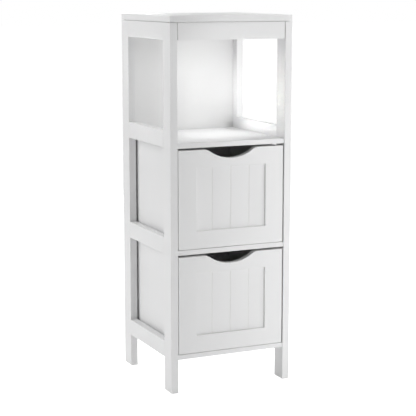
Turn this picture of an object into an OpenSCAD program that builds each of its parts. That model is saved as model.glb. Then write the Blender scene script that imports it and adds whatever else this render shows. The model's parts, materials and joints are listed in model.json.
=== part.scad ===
// Slim bathroom storage tower. Two open ladder frames carry a top panel, an apron, three shelves
// and a back panel, and two drawers slide on the lower shelves.
// Origin: centre of the footprint, on the floor. +X right, +Y to the back, +Z up. Millimetres.

/* [Overall] */
// Overall height
tower_h = 890; // [760:5:1100]
// Overall width
tower_w = 314; // [280:1:420]
// Overall depth
tower_d = 309; // [270:1:400]
// Clear height under the bottom shelf
leg_h = 81; // [40:1:140]
// Clear height between two shelves, where one drawer goes
bay_h = 240; // [180:1:270]

/* [Side frames] */
// Thickness of the posts and rails
frame_t = 18; // [16:0.5:25]
// Width of a front post, seen from the side
front_post_w = 43; // [36:1:60]
// Width of a back post, seen from the side
back_post_w = 45; // [42:1:60]
// Height of a side rail
rail_h = 40; // [34:1:60]
// Spacing of the two dowels in each rail's end
rail_dowel_pitch = 20; // [12:1:22]

/* [Top, apron and shelves] */
// Thickness of the top panel
top_t = 16; // [14:0.5:25]
// Height of the apron under the top panel
apron_h = 40; // [30:1:60]
// Thickness of the apron
apron_t = 15; // [12:0.5:18]
// Setback of the apron's face behind the posts' faces
apron_setback = 0.8; // [0:0.1:5]
// Joint line left at each end of the apron
apron_end_gap = 0.3; // [0:0.1:1]
// Spacing of the two dowels in each apron end
apron_dowel_pitch = 18; // [12:1:20]
// Thickness of a shelf
shelf_t = 12; // [12:0.5:18]
// Setback of the shelves and drawer fronts behind the posts' faces
front_setback = 2; // [0:0.5:8]

/* [Back panel] */
// Thickness of the back panel
back_t = 3; // [2.5:0.5:5]
// Distance from the back panel's back face to the posts' back faces
back_inset = 20.5; // [16:0.5:21]
// Depth of the back panel's groove in each back post
back_groove_depth = 6; // [3:0.5:8]
// Depth of the back panel's groove in the top panel
top_groove_depth = 4; // [2:0.5:8]

/* [Drawers] */
// Thickness of a drawer front
front_t = 15; // [14:0.5:18]
// Gap between a drawer front and each post
front_side_gap = 2; // [1:0.5:4]
// Gap under a drawer front
front_bottom_gap = 1; // [0.5:0.1:3]
// Gap over a drawer front
front_top_gap = 5; // [3:0.5:10]
// Thickness of a drawer's sides and back
side_t = 12; // [12:0.5:16]
// Gap between a drawer's side and the side frame
box_side_gap = 4.3; // [2.5:0.1:10]
// How far the sides and back stay below the front's top edge
side_drop = 2; // [0:0.5:10]
// Gap between a closed drawer and the back panel
box_back_gap = 1; // [0.5:0.5:20]
// Running gap between a drawer's sides and its shelf
glide_gap = 0.3; // [0.2:0.1:0.9]
// Thickness of a drawer's bottom panel
bottom_t = 3; // [2.5:0.5:5]
// Height of the bottom panel's groove above the sides' lower edges
bottom_groove_z = 9; // [6:0.5:15]
// Depth of the bottom panel's groove
bottom_groove_depth = 6; // [3:0.5:7]

/* [Recess and grooves of a drawer front] */
// Frame left at each side of the recess
recess_side = 47; // [30:1:70]
// Frame left above and below the recess
recess_margin = 42; // [38:1:55]
// Depth of the recess
recess_depth = 5.5; // [2:0.5:6.5]
// Width of one board between two vertical grooves
groove_pitch = 48; // [20:1:80]
// Width of a vertical groove at the surface
groove_w = 3; // [1.5:0.5:4]

/* [Finger scoop] */
// Width of the scoop at the front's top edge
scoop_w = 142; // [90:1:180]
// Depth of the scoop
scoop_depth = 22.5; // [15:0.5:30]
// Radius of the scoop's rounded shoulders
scoop_shoulder_r = 26; // [10:1:40]

/* [Dowels, cam fittings and screws] */
// Diameter of a frame dowel
frame_dowel_d = 8; // [6:0.5:9]
// Diameter of a shelf or drawer dowel
board_dowel_d = 6; // [4:0.5:8]
// Length of every dowel
dowel_l = 30; // [24:1:34]
// Depth of a dowel in the board it stands in, where it isn't shared evenly
dowel_seat = 10; // [6:0.5:11]
// Diameter of a cam nut
cam_d = 12; // [10:0.5:15]
// Height of a cam nut
cam_h = 9; // [8:0.5:10.5]
// Distance from the board's face to the cam bolt's axis
cam_axis = 6; // [5:0.5:6.5]
// Distance from the joint to the cam nut's centre
cam_reach = 24; // [20:1:34]
// Diameter of a cam bolt's thread
cam_bolt_d = 5; // [4:0.5:6]
// Length of a cam bolt's thread
cam_thread_l = 10; // [8:0.5:11]
// Distance from a rail's end to the first cam fitting
cam_inset = 24; // [22:1:40]
// Distance from a cam fitting to the dowel beside it
dowel_step = 32; // [16:1:36]
// Distance from a drawer side's edges to its dowels and screws
drawer_joint_inset = 45; // [30:1:60]
// Diameter of a drawer screw's shank
screw_d = 3.5; // [3:0.5:4.5]
// Diameter of a drawer screw's head
screw_head_d = 7; // [6:0.5:9]
// Length of a drawer screw
screw_l = 30; // [24:1:40]

/* [Clearances] */
// Radial gap round a dowel, bolt, cam nut or screw in its hole
fit = 0.1; // [0.05:0.05:0.2]
// Extra depth at the bottom of a drilled hole
hole_relief = 0.5; // [0.2:0.1:1]
// Gap on each side of a panel in its groove
groove_fit = 0.2; // [0.1:0.05:0.4]

/* [Hidden] */

$fn = 96;
cut = 1;                                // how far a cutting shape runs past the face it cuts

paint = [0.94, 0.94, 0.94];             // satin white paint on every board that shows
beech = [0.85, 0.70, 0.50];
zinc = [0.72, 0.73, 0.75];
left = -1;
right = 1;

// Side frames
front_y = -tower_d / 2;                 // the posts' front faces
back_y = tower_d / 2;                   // the posts' back faces
frame_in_x = tower_w / 2 - frame_t;     // a side frame's inner face
frame_mid_x = tower_w / 2 - frame_t / 2;
rail_y0 = front_y + front_post_w;       // the rails' front ends
rail_y1 = back_y - back_post_w;         // the rails' back ends

// Levels: the underside of each shelf is level with the underside of its rail
bottom_z = leg_h;
middle_z = bottom_z + shelf_t + bay_h;
open_z = middle_z + shelf_t + bay_h;
top_z = tower_h - top_t;                // top of the side frames, underside of the top panel
top_rail_z = top_z - rail_h;
rail_levels = [bottom_z, middle_z, open_z, top_rail_z];

// Shelves, apron and back panel
face_y = front_y + front_setback;       // front edges of the shelves and faces of the drawer fronts
apron_y = front_y + apron_setback;
panel_y = back_y - back_inset - back_t; // front face of the back panel
top_back_dowel_y = back_y - back_inset / 2;
front_post_mid_y = front_y + front_post_w / 2;

// Cam fittings and dowels stand at these places along the rails
cam_ys = [rail_y0 + cam_inset, rail_y1 - cam_inset];
shelf_dowel_ys = [cam_ys[0] + dowel_step, cam_ys[1] - dowel_step];

// Drawers, measured from the top face of the shelf that carries them
lower_drawer_z = bottom_z + shelf_t;
upper_drawer_z = middle_z + shelf_t;
front_w = 2 * (frame_in_x - front_side_gap);
front_z0 = front_bottom_gap;
front_z1 = bay_h - front_top_gap;
front_back_y = face_y + front_t;        // back face of a drawer front
box_x = frame_in_x - box_side_gap;      // a drawer side's outer face
box_in_x = box_x - side_t;              // a drawer side's inner face
side_z0 = glide_gap;
side_z1 = front_z1 - side_drop;
side_back_y = panel_y - box_back_gap;
back_in_y = side_back_y - side_t;       // front face of a drawer's back
bottom_z0 = side_z0 + bottom_groove_z;
drawer_joint_zs = [side_z0 + drawer_joint_inset, side_z1 - drawer_joint_inset];
drawer_cam_z = (side_z0 + side_z1) / 2;

// The scoop's outline, from the front's top edge down: a wide arc at the bottom that meets a rounded
// shoulder at each side. Both arcs have the slope of scoop_turn where they meet.
scoop_half = scoop_w / 2;
scoop_turn = 2 * atan(scoop_depth / scoop_half);
scoop_bottom_r = scoop_half / sin(scoop_turn) - scoop_shoulder_r;
scoop_steps = ceil(scoop_turn * $fn / 360);
scoop_right = [
    for (i = [1 : scoop_steps]) let (a = scoop_turn * i / scoop_steps)
        [scoop_bottom_r * sin(a), scoop_bottom_r * (1 - cos(a)) - scoop_depth],
    for (i = [scoop_steps - 1 : -1 : 0]) let (a = scoop_turn * i / scoop_steps)
        [scoop_half - scoop_shoulder_r * sin(a), scoop_shoulder_r * (cos(a) - 1)],
    [scoop_half, cut]
];
scoop_outline = concat(
    [[0, -scoop_depth]], scoop_right,
    [for (i = [len(scoop_right) - 1 : -1 : 0]) [-scoop_right[i][0], scoop_right[i][1]]]
);

recess_x = front_w / 2 - recess_side;
grooves_a_side = floor((recess_x - groove_w) / groove_pitch);

// Small features of the fittings
collar_l = 1;
collar_d = cam_bolt_d + 1;
neck_d = cam_bolt_d * 0.6;
bolt_head_l = 2.5;
bolt_head_d = cam_bolt_d * 0.9;
bolt_bore_d = collar_d;
cam_slot_d = bolt_head_d + 0.8;
cam_drive_w = 1.2;
cam_drive_l = cam_d * 0.6;
cam_drive_depth = 1.5;
dowel_chamfer = 1;
screw_head_h = (screw_head_d - screw_d) / 2;
screw_tip_l = screw_d * 1.5;
screw_drive_w = screw_d * 0.25;
screw_drive_depth = screw_head_h * 0.8;

// ---- shapes that repeat ----

module board(x0, x1, y0, y1, z0, z1)
    translate([x0, y0, z0]) cube([x1 - x0, y1 - y0, z1 - z0]);

// Places its children on the left or the right half of the tower
module on_side(side) mirror([side == left ? 1 : 0, 0, 0]) children();

// A dowel that lies along Z, with its joint at z = 0 and seat millimetres of it below
module dowel(d, seat) {
    translate([0, 0, -seat]) {
        cylinder(d1 = d - 2 * dowel_chamfer, d2 = d, h = dowel_chamfer);
        translate([0, 0, dowel_chamfer]) cylinder(d = d, h = dowel_l - 2 * dowel_chamfer);
        translate([0, 0, dowel_l - dowel_chamfer])
            cylinder(d1 = d, d2 = d - 2 * dowel_chamfer, h = dowel_chamfer);
    }
}

module dowel_hole(d, seat)
    translate([0, 0, -seat - hole_relief]) cylinder(d = d + 2 * fit, h = dowel_l + 2 * hole_relief);

// A cam fitting: the bolt is screwed in below z = 0 and its head is caught by the nut at cam_reach.
// The nut's pocket opens towards -X, on the face that lies cam_axis from the bolt.
module cam_bolt()
    rotate_extrude() polygon([
        [0, -cam_thread_l], [cam_bolt_d / 2 - 1, -cam_thread_l],
        [cam_bolt_d / 2, 1 - cam_thread_l], [cam_bolt_d / 2, 0],
        [collar_d / 2 - fit, 0], [collar_d / 2 - fit, collar_l],
        [neck_d / 2, collar_l], [neck_d / 2, cam_reach - bolt_head_l],
        [bolt_head_d / 2, cam_reach - bolt_head_l + 0.5],
        [bolt_head_d / 2, cam_reach - 0.5], [bolt_head_d / 2 - 0.5, cam_reach], [0, cam_reach]
    ]);

module cam_nut()
    translate([-cam_axis, 0, cam_reach]) difference() {
        rotate([0, 90, 0]) cylinder(d = cam_d, h = cam_h);
        translate([cam_axis, 0, -cam_d]) cylinder(d = cam_slot_d, h = cam_d + 0.5);
        for (turn = [0, 90])
            rotate([turn, 0, 0]) translate([-cut, -cam_drive_w / 2, -cam_drive_l / 2])
                cube([cam_drive_depth + cut, cam_drive_w, cam_drive_l]);
    }

module cam_holes() {
    translate([0, 0, -cam_thread_l - hole_relief])
        cylinder(d = cam_bolt_d + 2 * fit, h = cam_thread_l + hole_relief);
    cylinder(d = bolt_bore_d, h = cam_reach);
    translate([-cam_axis - cut, 0, cam_reach])
        rotate([0, 90, 0]) cylinder(d = cam_d + 2 * fit, h = cam_h + hole_relief + cut);
}

// ---- where the fittings go ----

// The two dowels at one end of a rail, on the right side frame
module at_rail_end(rail_z, y)
    for (dz = [-1, 1])
        translate([frame_mid_x, y, rail_z + rail_h / 2 + dz * rail_dowel_pitch / 2])
            rotate([-90, 0, 0]) children();

module at_apron_end()
    for (dz = [-1, 1])
        translate([frame_in_x, apron_y + apron_t / 2, top_z - apron_h / 2 + dz * apron_dowel_pitch / 2])
            rotate([0, -90, 0]) children();

module at_post_top(y) translate([frame_mid_x, y, top_z]) rotate([180, 0, 0]) children();

module at_shelf_cams(shelf_z)
    for (y = cam_ys) translate([frame_in_x, y, shelf_z + cam_axis]) rotate([0, -90, 0]) children();

module at_shelf_dowels(shelf_z)
    for (y = shelf_dowel_ys)
        translate([frame_in_x, y, shelf_z + shelf_t / 2]) rotate([0, -90, 0]) children();

module at_top_cams()
    for (y = cam_ys) translate([frame_in_x + cam_axis, y, top_z]) rotate([180, 0, 0]) children();

module at_drawer_cam()
    translate([box_in_x + cam_axis, front_back_y, drawer_cam_z]) rotate([-90, 0, 0]) children();

module at_drawer_dowels()
    for (z = drawer_joint_zs)
        translate([box_in_x + side_t / 2, front_back_y, z]) rotate([-90, 0, 0]) children();

// The screws' heads lie flush in the side's outer face and point inwards
module at_drawer_screws()
    for (z = drawer_joint_zs)
        translate([box_x, side_back_y - side_t / 2, z]) rotate([0, -90, 0]) children();

// ---- side frames ----

module post(side, y0, y1, joint_y)
    color(paint) on_side(side) difference() {
        board(frame_in_x, tower_w / 2, y0, y1, 0, top_z);
        for (z = rail_levels) at_rail_end(z, joint_y) dowel_hole(frame_dowel_d, dowel_l / 2);
        children();
    }

module front_post(side)
    post(side, front_y, rail_y0, rail_y0) {
        at_apron_end() dowel_hole(frame_dowel_d, dowel_seat);
        at_post_top(front_post_mid_y) dowel_hole(frame_dowel_d, dowel_seat);
    }

module back_post(side)
    post(side, rail_y1, back_y, rail_y1) {
        back_groove();
        at_post_top(top_back_dowel_y) dowel_hole(frame_dowel_d, dowel_seat);
    }

module rail(side, z)
    color(paint) on_side(side) difference() {
        board(frame_in_x, tower_w / 2, rail_y0, rail_y1, z, z + rail_h);
        for (y = [rail_y0, rail_y1]) at_rail_end(z, y) dowel_hole(frame_dowel_d, dowel_l / 2);
        children();
    }

module shelf_carrying_rail(side, z)
    rail(side, z) {
        at_shelf_cams(z) cam_holes();
        at_shelf_dowels(z) dowel_hole(board_dowel_d, dowel_seat);
    }

module top_rail(side) rail(side, top_rail_z) at_top_cams() cam_holes();

// ---- what joins the side frames ----

// The groove that the back panel slides down, in both back posts and in the top panel
module back_groove()
    board(-frame_in_x - back_groove_depth, frame_in_x + back_groove_depth,
          panel_y - groove_fit, panel_y + back_t + groove_fit,
          bottom_z - groove_fit, top_z + top_groove_depth);

module top_panel()
    color(paint) difference() {
        board(-tower_w / 2, tower_w / 2, front_y, back_y, top_z, tower_h);
        back_groove();
        for (side = [left, right]) on_side(side) {
            at_top_cams() cam_holes();
            for (y = [front_post_mid_y, top_back_dowel_y])
                at_post_top(y) dowel_hole(frame_dowel_d, dowel_seat);
        }
    }

module front_apron()
    color(paint) difference() {
        board(-frame_in_x + apron_end_gap, frame_in_x - apron_end_gap,
              apron_y, apron_y + apron_t, top_z - apron_h, top_z);
        for (side = [left, right])
            on_side(side) at_apron_end() dowel_hole(frame_dowel_d, dowel_seat);
    }

module shelf(z)
    color(paint) difference() {
        board(-frame_in_x, frame_in_x, face_y, panel_y, z, z + shelf_t);
        for (side = [left, right]) on_side(side) {
            at_shelf_cams(z) cam_holes();
            at_shelf_dowels(z) dowel_hole(board_dowel_d, dowel_seat);
        }
    }

module back_panel()
    color(paint)
        board(-frame_in_x - back_groove_depth + groove_fit, frame_in_x + back_groove_depth - groove_fit,
              panel_y, panel_y + back_t, bottom_z, top_z + top_groove_depth - groove_fit);

// ---- fasteners of the frame ----

module frame_dowels()
    color(beech) for (side = [left, right]) on_side(side) {
        for (z = rail_levels, y = [rail_y0, rail_y1])
            at_rail_end(z, y) dowel(frame_dowel_d, dowel_l / 2);
        at_apron_end() dowel(frame_dowel_d, dowel_seat);
        for (y = [front_post_mid_y, top_back_dowel_y])
            at_post_top(y) dowel(frame_dowel_d, dowel_seat);
    }

module shelf_dowels()
    color(beech) for (side = [left, right], z = [bottom_z, middle_z, open_z])
        on_side(side) at_shelf_dowels(z) dowel(board_dowel_d, dowel_seat);

module at_frame_cams()
    for (side = [left, right]) on_side(side) {
        for (z = [bottom_z, middle_z, open_z]) at_shelf_cams(z) children();
        at_top_cams() children();
    }

module cam_bolts() color(zinc) at_frame_cams() cam_bolt();
module cam_nuts() color(zinc) at_frame_cams() cam_nut();

// ---- drawers: each module takes z, the top face of the shelf below ----

// The finger scoop, cut down from the front's top edge through its whole thickness
module finger_scoop()
    translate([0, front_back_y + cut, front_z1])
        rotate([90, 0, 0]) linear_extrude(front_t + 2 * cut) polygon(scoop_outline);

module recess()
    board(-recess_x, recess_x, face_y - cut, face_y + recess_depth,
          front_z0 + recess_margin, front_z1 - recess_margin);

// One vertical groove with sloping sides in the recess's floor
module bead_groove(x)
    translate([x, face_y + recess_depth, front_z0 + recess_margin])
        linear_extrude(front_z1 - front_z0 - 2 * recess_margin)
            polygon([[-groove_w / 2 - cut, -cut], [groove_w / 2 + cut, -cut], [0, groove_w / 2]]);

// The groove that holds the bottom panel on all four sides
module bottom_groove()
    board(-box_in_x - bottom_groove_depth, box_in_x + bottom_groove_depth,
          front_back_y - bottom_groove_depth, back_in_y + bottom_groove_depth,
          bottom_z0 - groove_fit, bottom_z0 + bottom_t + groove_fit);

module drawer_front(z)
    color(paint) translate([0, 0, z]) difference() {
        board(-front_w / 2, front_w / 2, face_y, front_back_y, front_z0, front_z1);
        finger_scoop();
        recess();
        for (i = [-grooves_a_side : grooves_a_side]) bead_groove(i * groove_pitch);
        bottom_groove();
        for (side = [left, right]) on_side(side) {
            at_drawer_cam() cam_holes();
            at_drawer_dowels() dowel_hole(board_dowel_d, dowel_seat);
        }
    }

module drawer_side(side, z)
    color(paint) translate([0, 0, z]) on_side(side) difference() {
        board(box_in_x, box_x, front_back_y, side_back_y, side_z0, side_z1);
        bottom_groove();
        at_drawer_cam() cam_holes();
        at_drawer_dowels() dowel_hole(board_dowel_d, dowel_seat);
        at_drawer_screws() screw_hole();
    }

module drawer_back(z)
    color(paint) translate([0, 0, z]) difference() {
        board(-box_in_x, box_in_x, back_in_y, side_back_y, side_z0, side_z1);
        bottom_groove();
        for (side = [left, right]) on_side(side) at_drawer_screws() screw_hole();
    }

module drawer_bottom(z)
    color(paint) translate([0, 0, z])
        board(-box_in_x - bottom_groove_depth + groove_fit, box_in_x + bottom_groove_depth - groove_fit,
              front_back_y - bottom_groove_depth + groove_fit, back_in_y + bottom_groove_depth - groove_fit,
              bottom_z0, bottom_z0 + bottom_t);

module drawer_dowels(z)
    color(beech) translate([0, 0, z]) for (side = [left, right])
        on_side(side) at_drawer_dowels() dowel(board_dowel_d, dowel_seat);

module drawer_cam_bolts(z)
    color(zinc) translate([0, 0, z]) for (side = [left, right]) on_side(side) at_drawer_cam() cam_bolt();

module drawer_cam_nuts(z)
    color(zinc) translate([0, 0, z]) for (side = [left, right]) on_side(side) at_drawer_cam() cam_nut();

// A countersunk screw along Z with its head's face at z = 0
module screw()
    difference() {
        rotate_extrude() polygon([
            [0, 0], [screw_head_d / 2, 0], [screw_d / 2, screw_head_h],
            [screw_d / 2, screw_l - screw_tip_l], [0, screw_l]
        ]);
        for (turn = [0, 90])
            rotate([0, 0, turn]) translate([-screw_head_d * 0.3, -screw_drive_w / 2, -cut])
                cube([screw_head_d * 0.6, screw_drive_w, screw_drive_depth + cut]);
    }

module screw_hole()
    rotate_extrude() polygon([
        [0, -cut], [screw_head_d / 2 + fit, -cut], [screw_head_d / 2 + fit, 0],
        [screw_d / 2 + fit, screw_head_h], [screw_d / 2 + fit, screw_l + hole_relief],
        [0, screw_l + hole_relief]
    ]);

module drawer_screws(z)
    color(zinc) translate([0, 0, z]) for (side = [left, right]) on_side(side) at_drawer_screws() screw();

// ---- the tower ----

front_post(left);  // left_front_post
back_post(left);  // left_back_post
front_post(right);  // right_front_post
back_post(right);  // right_back_post
shelf_carrying_rail(left, bottom_z);  // left_bottom_rail
shelf_carrying_rail(left, middle_z);  // left_middle_rail
shelf_carrying_rail(left, open_z);  // left_shelf_rail
top_rail(left);  // left_top_rail
shelf_carrying_rail(right, bottom_z);  // right_bottom_rail
shelf_carrying_rail(right, middle_z);  // right_middle_rail
shelf_carrying_rail(right, open_z);  // right_shelf_rail
top_rail(right);  // right_top_rail
top_panel();
front_apron();
shelf(open_z);  // open_shelf
shelf(middle_z);  // middle_shelf
shelf(bottom_z);  // bottom_shelf
back_panel();
frame_dowels();
shelf_dowels();
cam_bolts();
cam_nuts();
drawer_front(upper_drawer_z);  // upper_drawer_front
drawer_side(left, upper_drawer_z);  // upper_drawer_left_side
drawer_side(right, upper_drawer_z);  // upper_drawer_right_side
drawer_back(upper_drawer_z);  // upper_drawer_back
drawer_bottom(upper_drawer_z);  // upper_drawer_bottom
drawer_dowels(upper_drawer_z);  // upper_drawer_dowels
drawer_cam_bolts(upper_drawer_z);  // upper_drawer_cam_bolts
drawer_cam_nuts(upper_drawer_z);  // upper_drawer_cam_nuts
drawer_screws(upper_drawer_z);  // upper_drawer_screws
drawer_front(lower_drawer_z);  // lower_drawer_front
drawer_side(left, lower_drawer_z);  // lower_drawer_left_side
drawer_side(right, lower_drawer_z);  // lower_drawer_right_side
drawer_back(lower_drawer_z);  // lower_drawer_back
drawer_bottom(lower_drawer_z);  // lower_drawer_bottom
drawer_dowels(lower_drawer_z);  // lower_drawer_dowels
drawer_cam_bolts(lower_drawer_z);  // lower_drawer_cam_bolts
drawer_cam_nuts(lower_drawer_z);  // lower_drawer_cam_nuts
drawer_screws(lower_drawer_z);  // lower_drawer_screws
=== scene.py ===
import json
import math

import bmesh
import bpy
from mathutils import Matrix, Vector

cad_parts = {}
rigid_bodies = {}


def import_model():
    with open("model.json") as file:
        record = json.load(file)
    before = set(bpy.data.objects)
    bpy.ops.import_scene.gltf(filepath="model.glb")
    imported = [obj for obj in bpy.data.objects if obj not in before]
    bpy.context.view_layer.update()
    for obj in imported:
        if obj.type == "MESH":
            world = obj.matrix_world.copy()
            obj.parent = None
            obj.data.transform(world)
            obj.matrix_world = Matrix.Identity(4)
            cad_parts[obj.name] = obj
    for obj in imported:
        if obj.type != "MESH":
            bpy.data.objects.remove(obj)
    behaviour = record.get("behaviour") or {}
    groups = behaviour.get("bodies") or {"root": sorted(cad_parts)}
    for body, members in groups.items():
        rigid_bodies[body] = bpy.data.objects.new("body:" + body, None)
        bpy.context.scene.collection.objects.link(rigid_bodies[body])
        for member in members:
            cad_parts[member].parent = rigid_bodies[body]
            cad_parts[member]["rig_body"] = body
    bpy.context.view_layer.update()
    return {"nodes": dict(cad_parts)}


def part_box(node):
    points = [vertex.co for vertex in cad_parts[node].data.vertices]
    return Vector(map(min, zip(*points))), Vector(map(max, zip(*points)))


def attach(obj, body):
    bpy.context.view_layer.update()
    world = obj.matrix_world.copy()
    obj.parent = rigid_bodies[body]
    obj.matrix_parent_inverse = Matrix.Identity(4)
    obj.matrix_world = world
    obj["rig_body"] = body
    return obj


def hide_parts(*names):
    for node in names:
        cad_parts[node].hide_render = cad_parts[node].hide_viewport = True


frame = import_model()
scene = bpy.context.scene
mm = 0.001  # every size below is in metres
print("frame loaded:", len(frame["nodes"]), "CAD nodes")


def arithmetic(operation, flipped=False):
    def act(self, other):
        first, second = (other, self) if flipped else (self, other)
        return self.wiring.add("Math", {"operation": operation}, {0: first, 1: second})
    return act


class Wire:  # one output of a node, so that maths on it reads as an expression
    def __init__(self, wiring, node, output):
        self.wiring, self.node, self.socket = wiring, node, node.outputs[output]

    def other(self, output):
        return Wire(self.wiring, self.node, output)

    __add__ = arithmetic("ADD")
    __radd__ = arithmetic("ADD", True)
    __sub__ = arithmetic("SUBTRACT")
    __rsub__ = arithmetic("SUBTRACT", True)
    __mul__ = arithmetic("MULTIPLY")
    __rmul__ = arithmetic("MULTIPLY", True)
    __truediv__ = arithmetic("DIVIDE")
    above = arithmetic("GREATER_THAN")
    capped = arithmetic("MINIMUM")

    def sine(self):
        return self.wiring.add("Math", {"operation": "SINE"}, {0: self})

    def swing(self, amount):  # a noise of 0 to 1 made to swing by this amount round zero
        return (self - 0.5) * amount


class Wiring:  # the nodes of a material or of the world
    def __init__(self, owner):
        owner.use_nodes = True
        self.tree = owner.node_tree
        self.tree.nodes.clear()

    def add(self, kind, settings=None, values=None):
        node = self.tree.nodes.new("ShaderNode" + kind)
        for name, setting in (settings or {}).items():
            setattr(node, name, setting)
        for name, value in (values or {}).items():
            if isinstance(value, Wire):
                self.tree.links.new(value.socket, node.inputs[name])
            else:
                node.inputs[name].default_value = value
        return Wire(self, node, 0) if node.outputs else None


class Finish(Wiring):  # one material, and the nodes it is made of
    def __init__(self, name):
        self.material = bpy.data.materials.new(name)
        super().__init__(self.material)
        self.place = self.add("TexCoord").other("Object")

    def noise(self, size, detail=2, roughness=0.5, place=None):  # size is that of one patch, in metres
        return self.add("TexNoise", None, {
            "Vector": place or self.place, "Scale": 1 / size, "Detail": detail, "Roughness": roughness})

    def blend(self, amount, first, second):
        first, second = (
            (*colour, 1) if isinstance(colour, tuple) else colour for colour in (first, second))
        return self.add("Mix", {"data_type": "RGBA"}, {"Factor": amount, 6: first, 7: second}).other(2)

    def bump(self, height, depth, strength):
        return self.add("Bump", None, {"Height": height, "Distance": depth, "Strength": strength})

    def shade(self, values):
        self.add("OutputMaterial", None, {"Surface": self.add("BsdfPrincipled", None, values)})
        return self.material


paintLook = {
    "colour": (0.88, 0.88, 0.88), "shadow": (0.855, 0.857, 0.86), "cloudSize": 90 * mm,
    "roughness": 0.40, "dragSize": 14 * mm, "peelSize": 1.4 * mm, "peelDepth": 0.05 * mm,
    "scuffColour": (0.52, 0.50, 0.47), "scuffAmount": 0.25, "scuffSize": 5 * mm, "scuffHeight": 14 * mm,
    "scuffGaps": 0.52,
}


def makePaint():  # satin white, sprayed: a faint orange peel, and scuffs where the feet meet the floor
    paint = Finish("satinWhitePaint")
    cloud = paint.noise(paintLook["cloudSize"], detail=3)
    peel = paint.noise(paintLook["peelSize"], roughness=0.4)
    drag = paint.noise(paintLook["dragSize"], detail=3, roughness=0.6)
    height = paint.add("SeparateXYZ", None, {0: paint.place}).other("Z")
    nearFloor = 1 - (height / paintLook["scuffHeight"]).capped(1)
    rubbed = paint.noise(paintLook["scuffSize"], detail=4, roughness=0.7).above(paintLook["scuffGaps"])
    scuff = nearFloor * rubbed
    colour = paint.blend(cloud, paintLook["colour"], paintLook["shadow"])
    colour = paint.blend(scuff * paintLook["scuffAmount"], colour, paintLook["scuffColour"])
    return paint.shade({
        "Base Color": colour,
        "Roughness": paintLook["roughness"] + drag.swing(0.10) + cloud.swing(0.06) + scuff * 0.2,
        "Normal": paint.bump(peel + drag * 0.6, paintLook["peelDepth"], 0.6),
        "Specular IOR Level": 0.45})


routedLook = {
    "colour": (0.87, 0.87, 0.868), "patch": (0.845, 0.845, 0.84), "patchSize": 9 * mm,
    "roughness": 0.52, "fibreSize": 0.5 * mm, "fibreDepth": 0.06 * mm,
}


def makeRoutedPaint():  # the same paint over a routed edge, where the fibres of the board show through
    paint = Finish("routedEdgePaint")
    fibre = paint.noise(routedLook["fibreSize"], detail=4, roughness=0.7)
    patch = paint.noise(routedLook["patchSize"], detail=3, roughness=0.6)
    return paint.shade({
        "Base Color": paint.blend(patch, routedLook["colour"], routedLook["patch"]),
        "Roughness": routedLook["roughness"] + fibre.swing(0.16) + patch.swing(0.08),
        "Normal": paint.bump(fibre + patch * 0.5, routedLook["fibreDepth"], 0.6),
        "Specular IOR Level": 0.4})


hardboardLook = {
    "colour": (0.89, 0.89, 0.89), "cloud": (0.865, 0.865, 0.86), "cloudSize": 60 * mm,
    "roughness": 0.34, "grainSize": 0.9 * mm, "screenPitch": 1.6 * mm, "screenDepth": 0.12 * mm,
}


def makeHardboard():  # white lacquer on hardboard: smooth in front, a pressed screen pattern behind
    board = Finish("whiteHardboard")
    turns = 2 * math.pi / hardboardLook["screenPitch"]
    axes = board.add("SeparateXYZ", None, {0: board.place})
    across, upward = axes.other("X"), axes.other("Y") + axes.other("Z")
    weave = (across * turns).sine() * (upward * turns).sine()
    normal = board.add("SeparateXYZ", None, {0: board.add("NewGeometry").other("Normal")})
    behind = (normal.other("Y") - normal.other("Z")).above(0.5)  # the sheet's rough side
    cloud = board.noise(hardboardLook["cloudSize"], detail=3)
    grain = board.noise(hardboardLook["grainSize"])
    return board.shade({
        "Base Color": board.blend(cloud, hardboardLook["colour"], hardboardLook["cloud"]),
        "Roughness": hardboardLook["roughness"] + cloud.swing(0.08) + behind * 0.2,
        "Normal": board.bump(weave * behind + grain * 0.15, hardboardLook["screenDepth"], 0.5),
        "Specular IOR Level": 0.5})


zincLook = {
    "bright": (0.66, 0.67, 0.69), "dull": (0.47, 0.48, 0.50), "roughness": 0.30,
    "spangleSize": 1.8 * mm, "tarnishSize": 7 * mm, "pitSize": 0.35 * mm, "pitDepth": 0.04 * mm,
}


def makeZinc():  # bright zinc plate on die-cast cams and turned bolts
    zinc = Finish("zincPlate")
    spangle = zinc.add("TexVoronoi", {"feature": "F1"}, {
        "Vector": zinc.place, "Scale": 1 / zincLook["spangleSize"]})
    pits = zinc.noise(zincLook["pitSize"], detail=3, roughness=0.6)
    tarnish = zinc.noise(zincLook["tarnishSize"], detail=4, roughness=0.65)
    return zinc.shade({
        "Base Color": zinc.blend(tarnish * 0.7 + spangle * 0.2, zincLook["bright"], zincLook["dull"]),
        "Metallic": 1.0,
        "Roughness": zincLook["roughness"] + tarnish * 0.16 + spangle * 0.08,
        "Normal": zinc.bump(pits + spangle * 0.3, zincLook["pitDepth"], 0.6)})


beechLook = {
    "pale": (0.66, 0.46, 0.28), "dark": (0.48, 0.30, 0.16), "roughness": 0.62,
    "grainSize": 1.1 * mm, "grainDepth": 0.08 * mm, "grainStretch": 0.15, "fleckSize": 0.7 * mm,
}


def makeBeech():  # raw beech dowels: fine straight grain with short dark flecks
    beech = Finish("rawBeech")
    stretched = beech.add("Mapping", None, {
        "Vector": beech.place, "Scale": (beechLook["grainStretch"], 1, 1)})
    grain = beech.noise(beechLook["grainSize"], detail=4, roughness=0.6, place=stretched)
    fleck = beech.noise(beechLook["fleckSize"], roughness=0.7).above(0.62)
    return beech.shade({
        "Base Color": beech.blend((grain + fleck * 0.5).capped(1), beechLook["pale"], beechLook["dark"]),
        "Roughness": beechLook["roughness"] + grain * 0.2,
        "Normal": beech.bump(grain, beechLook["grainDepth"], 0.5)})


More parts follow.
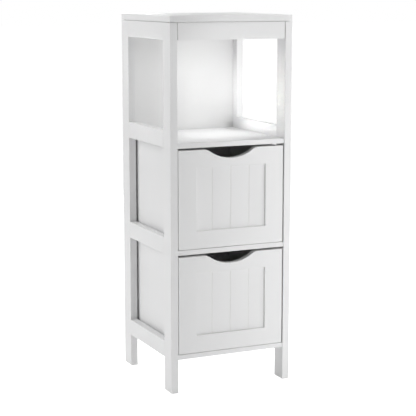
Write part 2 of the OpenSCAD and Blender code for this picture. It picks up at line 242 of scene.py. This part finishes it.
finishes = {
    "paint": makePaint(), "routed": makeRoutedPaint(), "hardboard": makeHardboard(),
    "zinc": makeZinc(), "beech": makeBeech(),
}
paintedBoard = ("paint", "white_paint")  # a finish and its slot
hardboardSheet = ("hardboard", "white_hardboard")
print("finishes made:", ", ".join(finishes))


cornerAngle = math.radians(35)  # an edge that turns more than this is a corner to ease
smoothAngle = math.radians(38)  # an edge that turns less than this is shaded smooth
straight = 0.99  # an edge or a normal past this follows its axis
weld = 0.001 * mm  # corners closer than this are one
loose = 0.1 * mm  # a place is still on a face within this, beside an edge that is already eased


def choose(piece):  # an operator acts on all that is selected, so everything else is deselected
    bpy.ops.object.select_all(action="DESELECT")
    piece.select_set(True)
    bpy.context.view_layer.objects.active = piece


def startEditing(piece):
    choose(piece)
    bpy.ops.object.mode_set(mode="EDIT")


def stopEditing():
    bpy.ops.object.mode_set(mode="OBJECT")


def pick(piece, kind, test):  # selects the edges or faces that pass a test, and says how many did
    bpy.ops.mesh.select_mode(type={"edges": "EDGE", "faces": "FACE"}[kind])
    bpy.ops.mesh.select_all(action="DESELECT")
    mesh = bmesh.from_edit_mesh(piece.data)
    found = [item for item in getattr(mesh, kind) if test(item)]
    for item in found:
        item.select_set(True)
    mesh.select_flush_mode()
    bmesh.update_edit_mesh(piece.data)
    return len(found)


def near(a, b, gap=0.02 * mm):
    return abs(a - b) < gap


def middle(edge):
    return (edge.verts[0].co + edge.verts[1].co) / 2


def along(edge, axis):  # does an edge run along this axis?
    way = (edge.verts[1].co - edge.verts[0].co).normalized()
    return abs(way[axis]) > straight


def isCorner(edge):  # does the surface turn at this edge?
    return len(edge.link_faces) == 2 and edge.calc_face_angle() > cornerAngle


def block(name, low, high):  # a board's blank at its size and place
    bpy.ops.object.select_all(action="DESELECT")
    bpy.ops.mesh.primitive_cube_add(size=1, location=(low + high) / 2, scale=high - low)
    piece = bpy.context.object
    piece.name = name
    bpy.ops.object.transform_apply(location=True, rotation=False, scale=True)
    return piece


def ease(piece, width, test, steps):  # rounds the corners that pass a test
    startEditing(piece)
    if pick(piece, "edges", lambda edge: isCorner(edge) and test(edge)):
        bpy.ops.mesh.bevel(offset=width, segments=steps, affect="EDGES", clamp_overlap=True)
    stopEditing()


def scribe(piece, test, point, normal):  # cuts a line across the faces that pass a test, along a plane
    pick(piece, "faces", test)
    bpy.ops.mesh.bisect(plane_co=point, plane_no=normal)


def applyModifier(piece, kind, settings):
    choose(piece)
    modifier = piece.modifiers.new(kind, kind)
    for name, value in settings.items():
        setattr(modifier, name, value)
    bpy.ops.object.modifier_apply(modifier=modifier.name)


def subtract(piece, cutter):
    applyModifier(piece, "BOOLEAN", {"operation": "DIFFERENCE", "solver": "EXACT", "object": cutter})
    bpy.data.objects.remove(cutter)
    startEditing(piece)
    bpy.ops.mesh.select_all(action="SELECT")
    bpy.ops.mesh.fill_holes(sides=0)  # a cut can lose a sliver beside an eased edge
    stopEditing()


grooveLook = {"fit": 0.2 * mm}


def cutGroove(piece, sheet):  # the groove that a thin panel sits in, where the panel enters the piece
    low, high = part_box(sheet)
    fit = Vector((1, 1, 1)) * grooveLook["fit"]
    subtract(piece, block("grooveCutter", low - fit, high + fit))


def solidBoxes(node):  # the box of each separate fastener in a CAD node, in the same order each run
    mesh = bmesh.new()
    mesh.from_mesh(frame["nodes"][node].data)
    bmesh.ops.remove_doubles(mesh, verts=mesh.verts, dist=weld)
    reached, boxes = set(), []
    for start in mesh.verts:
        if start in reached:
            continue
        reached.add(start)
        island, border = [], [start]
        while border:
            vert = border.pop()
            island.append(vert.co.copy())
            for link in vert.link_edges:
                far = link.other_vert(vert)
                if far not in reached:
                    reached.add(far)
                    border.append(far)
        boxes.append((Vector(map(min, zip(*island))), Vector(map(max, zip(*island)))))
    mesh.free()
    return boxes


drill = {"fit": 0.1 * mm, "relief": 0.5 * mm, "sides": 40}


def bore(piece, *nodes):  # drills the holes that a piece needs for its dowels, bolts and cam nuts
    corners = [Vector(corner) for corner in piece.bound_box]
    pieceLow, pieceHigh = corners[0], corners[6]
    for node in nodes:
        cutters = []
        for low, high in solidBoxes(node):
            if any(low[i] > pieceHigh[i] or high[i] < pieceLow[i] for i in range(3)):
                continue
            size = high - low  # a turned piece is as wide as it is high, so its axis is the odd size out
            axis = max(range(3), key=lambda i: abs(size[i] - size[i - 1]) + abs(size[i] - size[i - 2]))
            turn = {0: (0, math.pi / 2, 0), 1: (math.pi / 2, 0, 0), 2: (0, 0, 0)}[axis]
            bpy.ops.object.select_all(action="DESELECT")
            bpy.ops.mesh.primitive_cylinder_add(
                vertices=drill["sides"], radius=size[axis - 1] / 2 + drill["fit"],
                depth=size[axis] + 2 * drill["relief"], location=(low + high) / 2, rotation=turn)
            cutters.append(bpy.context.object)
        if cutters:
            for cutter in cutters:
                cutter.select_set(True)
            bpy.ops.object.join()
            subtract(piece, bpy.context.object)


def twin(piece, name, shift=None):  # a copy with its own mesh: moved by shift, or mirrored left for right
    copy = bpy.data.objects.new(name, piece.data.copy())
    scene.collection.objects.link(copy)
    copy.data.transform(Matrix.Translation(shift) if shift else Matrix.Scale(-1, 4, (1, 0, 0)))
    if not shift:
        startEditing(copy)
        bpy.ops.mesh.select_all(action="SELECT")
        bpy.ops.mesh.remove_doubles(threshold=weld)
        bpy.ops.mesh.normals_make_consistent(inside=False)
        stopEditing()
    return copy


def offsetOf(node, other):  # how far it is from one node to another like it
    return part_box(other)[0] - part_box(node)[0]


def finishPiece(piece, node, look=paintedBoard):
    finish, slot = look
    if not piece.data.materials:
        piece.data.materials.append(finishes[finish])
    choose(piece)
    bpy.ops.object.shade_smooth_by_angle(angle=smoothAngle)
    applyModifier(piece, "WEIGHTED_NORMAL", {"keep_sharp": True, "weight": 100})
    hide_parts(node)
    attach(piece, frame["nodes"][node]["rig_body"])


postLook = {
    "ease": 0.9 * mm, "innerEase": 0.4 * mm, "footEase": 1.5 * mm, "topEase": 0.3 * mm, "steps": 3,
    "topShoulder": 5 * mm,
}
railNames = ["bottom_rail", "middle_rail", "shelf_rail", "top_rail"]


def makePost(node, fasteners):
    low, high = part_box(node)
    rails = [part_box("right_" + rail) for rail in railNames]
    isFront = low.y < 0
    railY, freeY = (high.y, low.y) if isFront else (low.y, high.y)  # the face at the rails, and its opposite
    post = block(node + "_board", low, high)
    startEditing(post)  # the rails' levels are marked on the face that they meet
    for railLow, railHigh in rails:
        for level in (railLow.z, railHigh.z):
            if level < high.z - mm:
                scribe(post, lambda face: near(face.calc_center_median().y, railY),
                       (0, 0, level), (0, 0, 1))
    stopEditing()

    def isUpright(edge, y):
        return along(edge, 2) and near(middle(edge).y, y, loose)

    def isInner(edge):  # on the side that faces into the tower
        return near(middle(edge).x, low.x, postLook["footEase"])

    def inWindow(edge):  # between two rails, or on the leg below them
        return not any(railLow.z < middle(edge).z < railHigh.z for railLow, railHigh in rails)

    def isTop(edge):  # the end grain under the top panel, clear of the top rail
        return near(middle(edge).z, high.z) and not near(middle(edge).y, railY, postLook["topShoulder"])
    steps = postLook["steps"]
    ease(post, postLook["footEase"], lambda edge: near(middle(edge).z, low.z), steps)
    ease(post, postLook["innerEase"], lambda edge: isUpright(edge, freeY) and isInner(edge), steps)
    ease(post, postLook["ease"], lambda edge: isUpright(edge, freeY) and middle(edge).x > low.x + mm, steps)
    ease(post, postLook["ease"], lambda edge: isUpright(edge, railY) and inWindow(edge), steps)
    ease(post, postLook["topEase"], isTop, steps)
    bore(post, *fasteners)
    return post


railLook = {"ease": 0.9 * mm, "steps": 3}


def makeRail(node, fasteners):
    rail = block(node + "_board", *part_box(node))
    ease(rail, railLook["ease"], lambda edge: along(edge, 1), railLook["steps"])
    bore(rail, *fasteners)
    return rail


def makeSideFrames():  # the right one, and its mirror image on the left
    right = {name: makePost("right_" + name, ["frame_dowels"]) for name in ("front_post", "back_post")}
    cutGroove(right["back_post"], "back_panel")
    right["bottom_rail"] = makeRail("right_bottom_rail", ["frame_dowels", "shelf_dowels", "cam_bolts"])
    right["top_rail"] = makeRail("right_top_rail", ["frame_dowels", "cam_bolts", "cam_nuts"])
    for name in ("middle_rail", "shelf_rail"):
        node = "right_" + name
        right[name] = twin(right["bottom_rail"], node + "_board", offsetOf("right_bottom_rail", node))
    for name, piece in right.items():
        mirrored = twin(piece, "left_" + name + "_board")
        finishPiece(piece, "right_" + name)
        finishPiece(mirrored, "left_" + name)


makeSideFrames()
print("side frames made")


topLook = {
    "ease": 1.2 * mm, "steps": 4, "underEase": 0.3 * mm, "underSteps": 2,
    "shadowGap": 1.0 * mm, "shadowDepth": 6 * mm,
}


def makeTopPanel():
    low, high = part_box("top_panel")
    underside = low.z + topLook["shadowGap"]
    panel = block("top_panel_board", low + Vector((0, 0, topLook["shadowGap"])), high)
    startEditing(panel)  # its underside stands proud inside its edges, for a dark line over the frame
    pick(panel, "faces", lambda face: face.normal.z < -straight)
    bpy.ops.mesh.inset(thickness=topLook["shadowDepth"])
    bpy.ops.mesh.extrude_region_move(TRANSFORM_OT_translate={"value": (0, 0, -topLook["shadowGap"])})
    stopEditing()

    def isUnderRim(edge):  # the outer edges of the underside, which are the longest
        return near(middle(edge).z, underside) and edge.calc_length() > high.y - low.y - mm
    ease(panel, topLook["ease"], lambda edge: middle(edge).z > low.z + mm, topLook["steps"])
    ease(panel, topLook["underEase"], isUnderRim, topLook["underSteps"])
    cutGroove(panel, "back_panel")
    bore(panel, "frame_dowels", "cam_bolts")
    finishPiece(panel, "top_panel")


apronLook = {"ease": 0.4 * mm, "endGap": 1.2 * mm, "steps": 2}


def makeApron():
    low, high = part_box("front_apron")
    endGap = Vector((apronLook["endGap"], 0, 0))
    apron = block("front_apron_board", low + endGap, high - endGap)
    ease(apron, apronLook["ease"], lambda edge: True, apronLook["steps"])
    bore(apron, "frame_dowels")
    finishPiece(apron, "front_apron")


shelfLook = {"ease": 1.0 * mm, "steps": 3}


def makeShelves():
    low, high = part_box("bottom_shelf")
    shelf = block("bottom_shelf_board", low, high)
    ease(shelf, shelfLook["ease"], lambda edge: near(middle(edge).y, low.y), shelfLook["steps"])
    bore(shelf, "shelf_dowels", "cam_bolts", "cam_nuts")
    for node in ("middle_shelf", "open_shelf"):
        finishPiece(twin(shelf, node + "_board", offsetOf("bottom_shelf", node)), node)
    finishPiece(shelf, "bottom_shelf")


sheetLook = {"ease": 0.4 * mm, "steps": 2}


def makeSheet(name, node):  # a thin hardboard panel with broken edges
    sheet = block(name, *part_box(node))
    ease(sheet, sheetLook["ease"], lambda edge: True, sheetLook["steps"])
    return sheet


makeTopPanel()
makeApron()
makeShelves()
finishPiece(makeSheet("back_panel_sheet", "back_panel"), "back_panel", hardboardSheet)
print("top, apron, shelves and back panel made")


frontLook = {
    "scoopWidth": 142 * mm, "scoopDepth": 22.5 * mm, "shoulderRadius": 26 * mm, "scoopSteps": 14,
    "recessSide": 46.6 * mm, "recessMargin": 42 * mm, "recessDepth": 5.5 * mm,
    "groovePitch": 48 * mm, "grooveWidth": 5.0 * mm, "grooveDepth": 1.3 * mm,
    "sideGap": 0.4 * mm, "ease": 0.5 * mm, "backEase": 0.5 * mm, "recessEase": 1.0 * mm,
    "grooveEase": 0.3 * mm, "steps": 4, "fineSteps": 2,
}


def drawFrontOutline(low, high):  # half of the front's outline, from the scoop's lowest point to the right
    half, depth = frontLook["scoopWidth"] / 2, frontLook["scoopDepth"]
    turn = 2 * math.atan(depth / half)  # slope where the two arcs meet
    bottomRadius = half / math.sin(turn) - frontLook["shoulderRadius"]
    bpy.ops.object.select_all(action="DESELECT")
    bpy.ops.mesh.primitive_plane_add(size=mm, location=(0, low.y, high.z - depth))
    front = bpy.context.object
    bpy.ops.object.transform_apply(location=True)
    bpy.ops.object.mode_set(mode="EDIT")
    bpy.ops.mesh.select_mode(type="VERT")
    bpy.ops.mesh.merge(type="CENTER")  # the one point that is spun into the two arcs
    bpy.ops.mesh.spin(steps=frontLook["scoopSteps"], angle=turn, axis=(0, 1, 0),
                      center=(0, low.y, high.z - depth + bottomRadius))
    bpy.ops.mesh.spin(steps=frontLook["scoopSteps"], angle=-turn, axis=(0, 1, 0),
                      center=(half, low.y, high.z - frontLook["shoulderRadius"]))
    for x, z in ((high.x, high.z), (high.x, low.z), (0, low.z)):
        last = [vert.co for vert in bmesh.from_edit_mesh(front.data).verts if vert.select][0]
        step = Vector((x - last.x, 0, z - last.z))
        bpy.ops.mesh.extrude_vertices_move(TRANSFORM_OT_translate={"value": step})
    stopEditing()
    return front


def makeDrawerFront(node):
    low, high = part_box(node)
    sideGap = Vector((frontLook["sideGap"], 0, 0))
    low, high = low + sideGap, high - sideGap
    front = drawFrontOutline(low, high)
    front.name = node + "_board"
    applyModifier(front, "MIRROR", {"use_axis": (True, False, False), "merge_threshold": 0.01 * mm})
    startEditing(front)
    bpy.ops.mesh.select_all(action="SELECT")
    bpy.ops.mesh.edge_face_add()
    bpy.ops.mesh.extrude_region_move(TRANSFORM_OT_translate={"value": (0, high.y - low.y, 0)})
    bpy.ops.mesh.select_all(action="SELECT")
    bpy.ops.mesh.normals_make_consistent(inside=False)

    side, margin, depth = (frontLook[key] for key in ("recessSide", "recessMargin", "recessDepth"))
    recessX, recessLow, recessHigh = high.x - side, low.z + margin, high.z - margin
    floorY = low.y + depth

    def onFace(y):
        return lambda face: near(face.calc_center_median().y, y) and abs(face.normal.y) > straight

    def inRecess(place, slack=0.0):
        return abs(place.x) < recessX + slack and recessLow - slack < place.z < recessHigh + slack
    for x in (-recessX, recessX):
        scribe(front, onFace(low.y), (x, 0, 0), (1, 0, 0))
    for z in (recessLow, recessHigh):
        scribe(front, lambda face: onFace(low.y)(face) and abs(face.calc_center_median().x) < recessX,
               (0, 0, z), (0, 0, 1))
    pick(front, "faces", lambda face: onFace(low.y)(face) and inRecess(face.calc_center_median()))
    bpy.ops.mesh.extrude_region_move(TRANSFORM_OT_translate={"value": (0, depth, 0)})

    half = frontLook["grooveWidth"] / 2
    reach = int((recessX - half) // frontLook["groovePitch"])
    grooves = [i * frontLook["groovePitch"] for i in range(-reach, reach + 1)]
    for x in grooves:
        for dx in (-half, 0, half):
            scribe(front, onFace(floorY), (x + dx, 0, 0), (1, 0, 0))

    def onFloor(edge, offset):  # upright on the recess's floor, this far from the middle of a groove
        return along(edge, 2) and near(middle(edge).y, floorY) and any(
            near(abs(middle(edge).x - x), offset) for x in grooves)
    pick(front, "edges", lambda edge: onFloor(edge, 0))
    bpy.ops.transform.translate(value=(0, frontLook["grooveDepth"], 0))
    stopEditing()

    front.data.materials.append(finishes["paint"])
    front.data.materials.append(finishes["routed"])
    for face in front.data.polygons:  # everything that the router or the saw has cut
        isFlat = abs(face.normal.y) > straight
        face.material_index = 0 if isFlat else 1

    def onFront(edge):
        return near(middle(edge).y, low.y)
    steps, fineSteps = frontLook["steps"], frontLook["fineSteps"]
    ease(front, frontLook["grooveEase"], lambda edge: onFloor(edge, half), fineSteps)
    ease(front, frontLook["recessEase"], lambda edge: onFront(edge) and inRecess(middle(edge), mm), steps)
    ease(front, frontLook["ease"], lambda edge: onFront(edge) and not inRecess(middle(edge), 2 * mm), steps)
    ease(front, frontLook["backEase"], lambda edge: near(middle(edge).y, high.y), fineSteps)
    return front


boxLook = {"ease": 0.8 * mm, "steps": 3}


def makeBoxBoard(node, eased):
    board = block(node + "_board", *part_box(node))
    ease(board, boxLook["ease"], eased, boxLook["steps"])
    return board


seatLook = {"fit": 0.2 * mm, "relief": 0.4 * mm}


def drillForScrews(piece, node):  # a hole for each screw's shank, and a cone-shaped seat for its head
    for low, high in solidBoxes(node):
        out = math.copysign(1, low.x)  # the heads face away from the middle of the drawer
        face = high.x if out > 0 else low.x
        centre = (low + high) / 2
        headRadius = (high.z - low.z) / 2
        shankRadius = headRadius / 2
        room = seatLook["fit"] + seatLook["relief"]
        depth = headRadius - shankRadius + room  # the head's sides slope at 45 degrees
        bpy.ops.object.select_all(action="DESELECT")
        bpy.ops.mesh.primitive_cylinder_add(
            vertices=drill["sides"], radius=shankRadius + drill["fit"],
            depth=high.x - low.x + drill["relief"], location=centre, rotation=(0, math.pi / 2, 0))
        subtract(piece, bpy.context.object)
        bpy.ops.object.select_all(action="DESELECT")
        bpy.ops.mesh.primitive_cone_add(
            vertices=drill["sides"], radius1=headRadius + room, radius2=shankRadius, depth=depth,
            location=(face + out * (seatLook["relief"] - depth / 2), centre.y, centre.z),
            rotation=(0, -out * math.pi / 2, 0))
        subtract(piece, bpy.context.object)


def makeDrawers():  # the lower one, and its copy above
    drawer, upperDrawer = "lower_drawer_", "upper_drawer_"
    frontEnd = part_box(drawer + "right_side")[0].y
    made = {
        "front": makeDrawerFront(drawer + "front"),
        "right_side": makeBoxBoard(drawer + "right_side", lambda edge: not near(middle(edge).y, frontEnd)),
        "back": makeBoxBoard(drawer + "back", lambda edge: along(edge, 0)),
        "bottom": makeSheet(drawer + "bottom_board", drawer + "bottom"),
    }
    for name in ("front", "right_side", "back"):
        cutGroove(made[name], drawer + "bottom")
    bore(made["front"], drawer + "dowels", drawer + "cam_bolts")
    bore(made["right_side"], drawer + "dowels", drawer + "cam_bolts", drawer + "cam_nuts")
    drillForScrews(made["right_side"], drawer + "screws")
    drillForScrews(made["back"], drawer + "screws")
    made["left_side"] = twin(made["right_side"], drawer + "left_side_board")
    for name, piece in made.items():
        node, upperNode = drawer + name, upperDrawer + name
        look = hardboardSheet if name == "bottom" else paintedBoard
        copy = twin(piece, upperNode + "_board", offsetOf(node, upperNode))
        finishPiece(piece, node, look)
        finishPiece(copy, upperNode, look)


makeDrawers()
print("drawers made")


for name, node in frame["nodes"].items():
    if node.hide_render:  # a board that its replacement stands in for
        continue
    node.data.materials.clear()
    node.data.materials.append(finishes["beech" if "dowels" in name else "zinc"])
print("fasteners finished")


stageLook = {
    "floorSize": 60, "floorGrey": 0.88, "glowNear": 0.85, "glowFar": 1.0, "glowReach": 2.5,
    "bounce": 0.20, "ambient": 0.05,
}


def makeFloor():
    bpy.ops.object.select_all(action="DESELECT")
    bpy.ops.mesh.primitive_plane_add(size=stageLook["floorSize"], location=(0, 0, 0))
    floor = bpy.context.object
    floor.name = "floor"
    paper = Finish("paleFloor")
    grey, bounce = stageLook["floorGrey"], stageLook["bounce"]
    distance = paper.add("VectorMath", {"operation": "LENGTH"}, {0: paper.place}).other("Value")
    away = (distance / stageLook["glowReach"]).capped(1)
    glow = stageLook["glowNear"] + away * (stageLook["glowFar"] - stageLook["glowNear"])
    seen = paper.add("LightPath").other("Is Camera Ray")
    glowing = paper.blend(glow * seen, (bounce, bounce, bounce), (1.0, 1.0, 1.0))  # all else gets the bounce
    floor.data.materials.append(paper.shade({
        "Base Color": (grey, grey, grey, 1), "Roughness": 0.9, "Specular IOR Level": 0.0,
        "Emission Color": glowing, "Emission Strength": 1.0}))


def makeWorld():  # white to the camera, and a faint even light for everything else
    scene.world = bpy.data.worlds.new("studio")
    studio = Wiring(scene.world)
    ambient = stageLook["ambient"]
    seen = studio.add("LightPath").other("Is Camera Ray")
    background = studio.add("Background", None, {
        "Color": (1, 1, 1, 1), "Strength": ambient + seen * (1 - ambient)})
    studio.add("OutputWorld", None, {"Surface": background})


lights = {  # place and aim in metres, size in metres, spread in degrees
    "side": {"place": (-2.4, 0.5, 0.9), "aim": (0, 0, 0.45), "size": (1.2, 2.0), "watts": 18},
    "sideHigh": {"place": (-2.0, 0.4, 2.4), "aim": (0, 0, 0.45), "size": (1.0, 1.4), "watts": 22},
    "front": {"place": (0.35, -2.6, 0.75), "aim": (0.35, -0.15, 0.4),
              "size": (1.0, 1.5), "watts": 2.05, "spread": 60},
    "frontRight": {"place": (0.45, -1.7, 0.7), "aim": (0.45, -0.15, 0.4),
                   "size": (0.5, 1.4), "watts": 1.15, "spread": 50},
    "frontHigh": {"place": (0.9, -0.9, 2.2), "aim": (0, -0.1, 0.6), "size": (0.8, 0.8), "watts": 6.5},
    "right": {"place": (1.6, -1.0, 0.9), "aim": (0, 0, 0.45), "size": (0.8, 2.0), "watts": 2.2},
    "rightSide": {"place": (0.9, -0.65, 0.75), "aim": (0, -0.1, 0.6), "size": (0.5, 1.2), "watts": 1.3},
    "rightHigh": {"place": (1.4, 0, 1.6), "aim": (0, -0.05, 0.7), "size": (0.6, 0.8), "watts": 6.3},
    "back": {"place": (0.3, 2.6, 1.0), "aim": (0, 0.15, 0.45), "size": (1.2, 1.8), "watts": 24},
    "top": {"place": (0, 0.7, 2.7), "aim": (0, 0.1, 0.9), "size": (1.6, 1.2), "watts": 17},
    # the rest are narrow beams that reach into the open compartment
    "insideBack": {"place": (-0.55, -1.9, 0.55), "aim": (0.05, 0.13, 0.83),
                   "size": (0.15, 0.15), "watts": 0.02, "spread": 8.5},
    "shelfRight": {"place": (0.5, -0.1, 1.05), "aim": (0, -0.07, 0.6),
                   "size": (0.4, 0.4), "watts": 0.13, "spread": 26},
    "shelfLeft": {"place": (-1.4, 0, 1.15), "aim": (0.125, -0.01, 0.61),
                  "size": (0.1, 0.1), "watts": 0.035, "spread": 7},
    "shelfFront": {"place": (0.15, -1.3, 1.15), "aim": (0.05, -0.04, 0.6),
                   "size": (0.1, 0.1), "watts": 0.004, "spread": 7},
    "postFront": {"place": (-1.4, 0.65, 0.95), "aim": (0.139, -0.12, 0.7),
                  "size": (0.1, 0.1), "watts": 0.036, "spread": 7},
    "postBack": {"place": (-1.4, -0.5, 0.95), "aim": (0.139, 0.12, 0.69),
                 "size": (0.1, 0.1), "watts": 0.022, "spread": 6},
}


def makeLights():
    for name, look in lights.items():
        data = bpy.data.lights.new(name, "AREA")
        data.shape, data.energy = "RECTANGLE", look["watts"]
        data.size, data.size_y = look["size"]
        data.spread = math.radians(look.get("spread", 180))
        lamp = bpy.data.objects.new(name, data)
        scene.collection.objects.link(lamp)
        lamp.location = look["place"]
        lamp.rotation_euler = (Vector(look["aim"]) - lamp.location).to_track_quat("-Z", "Y").to_euler()


cameraLook = {"place": (-1.310, -2.894, 0.948), "heading": -24.49, "tilt": -9.54, "lens": 112.5}


def makeCamera():
    camera = bpy.data.objects.new("camera", bpy.data.cameras.new("camera"))
    scene.collection.objects.link(camera)
    camera.location = cameraLook["place"]
    camera.rotation_euler = (math.radians(90 + cameraLook["tilt"]), 0, math.radians(cameraLook["heading"]))
    camera.data.lens = cameraLook["lens"]
    scene.camera = camera
    scene.view_settings.view_transform = "Standard"


makeFloor()
makeWorld()
makeLights()
makeCamera()
print("stage, lights and camera made")
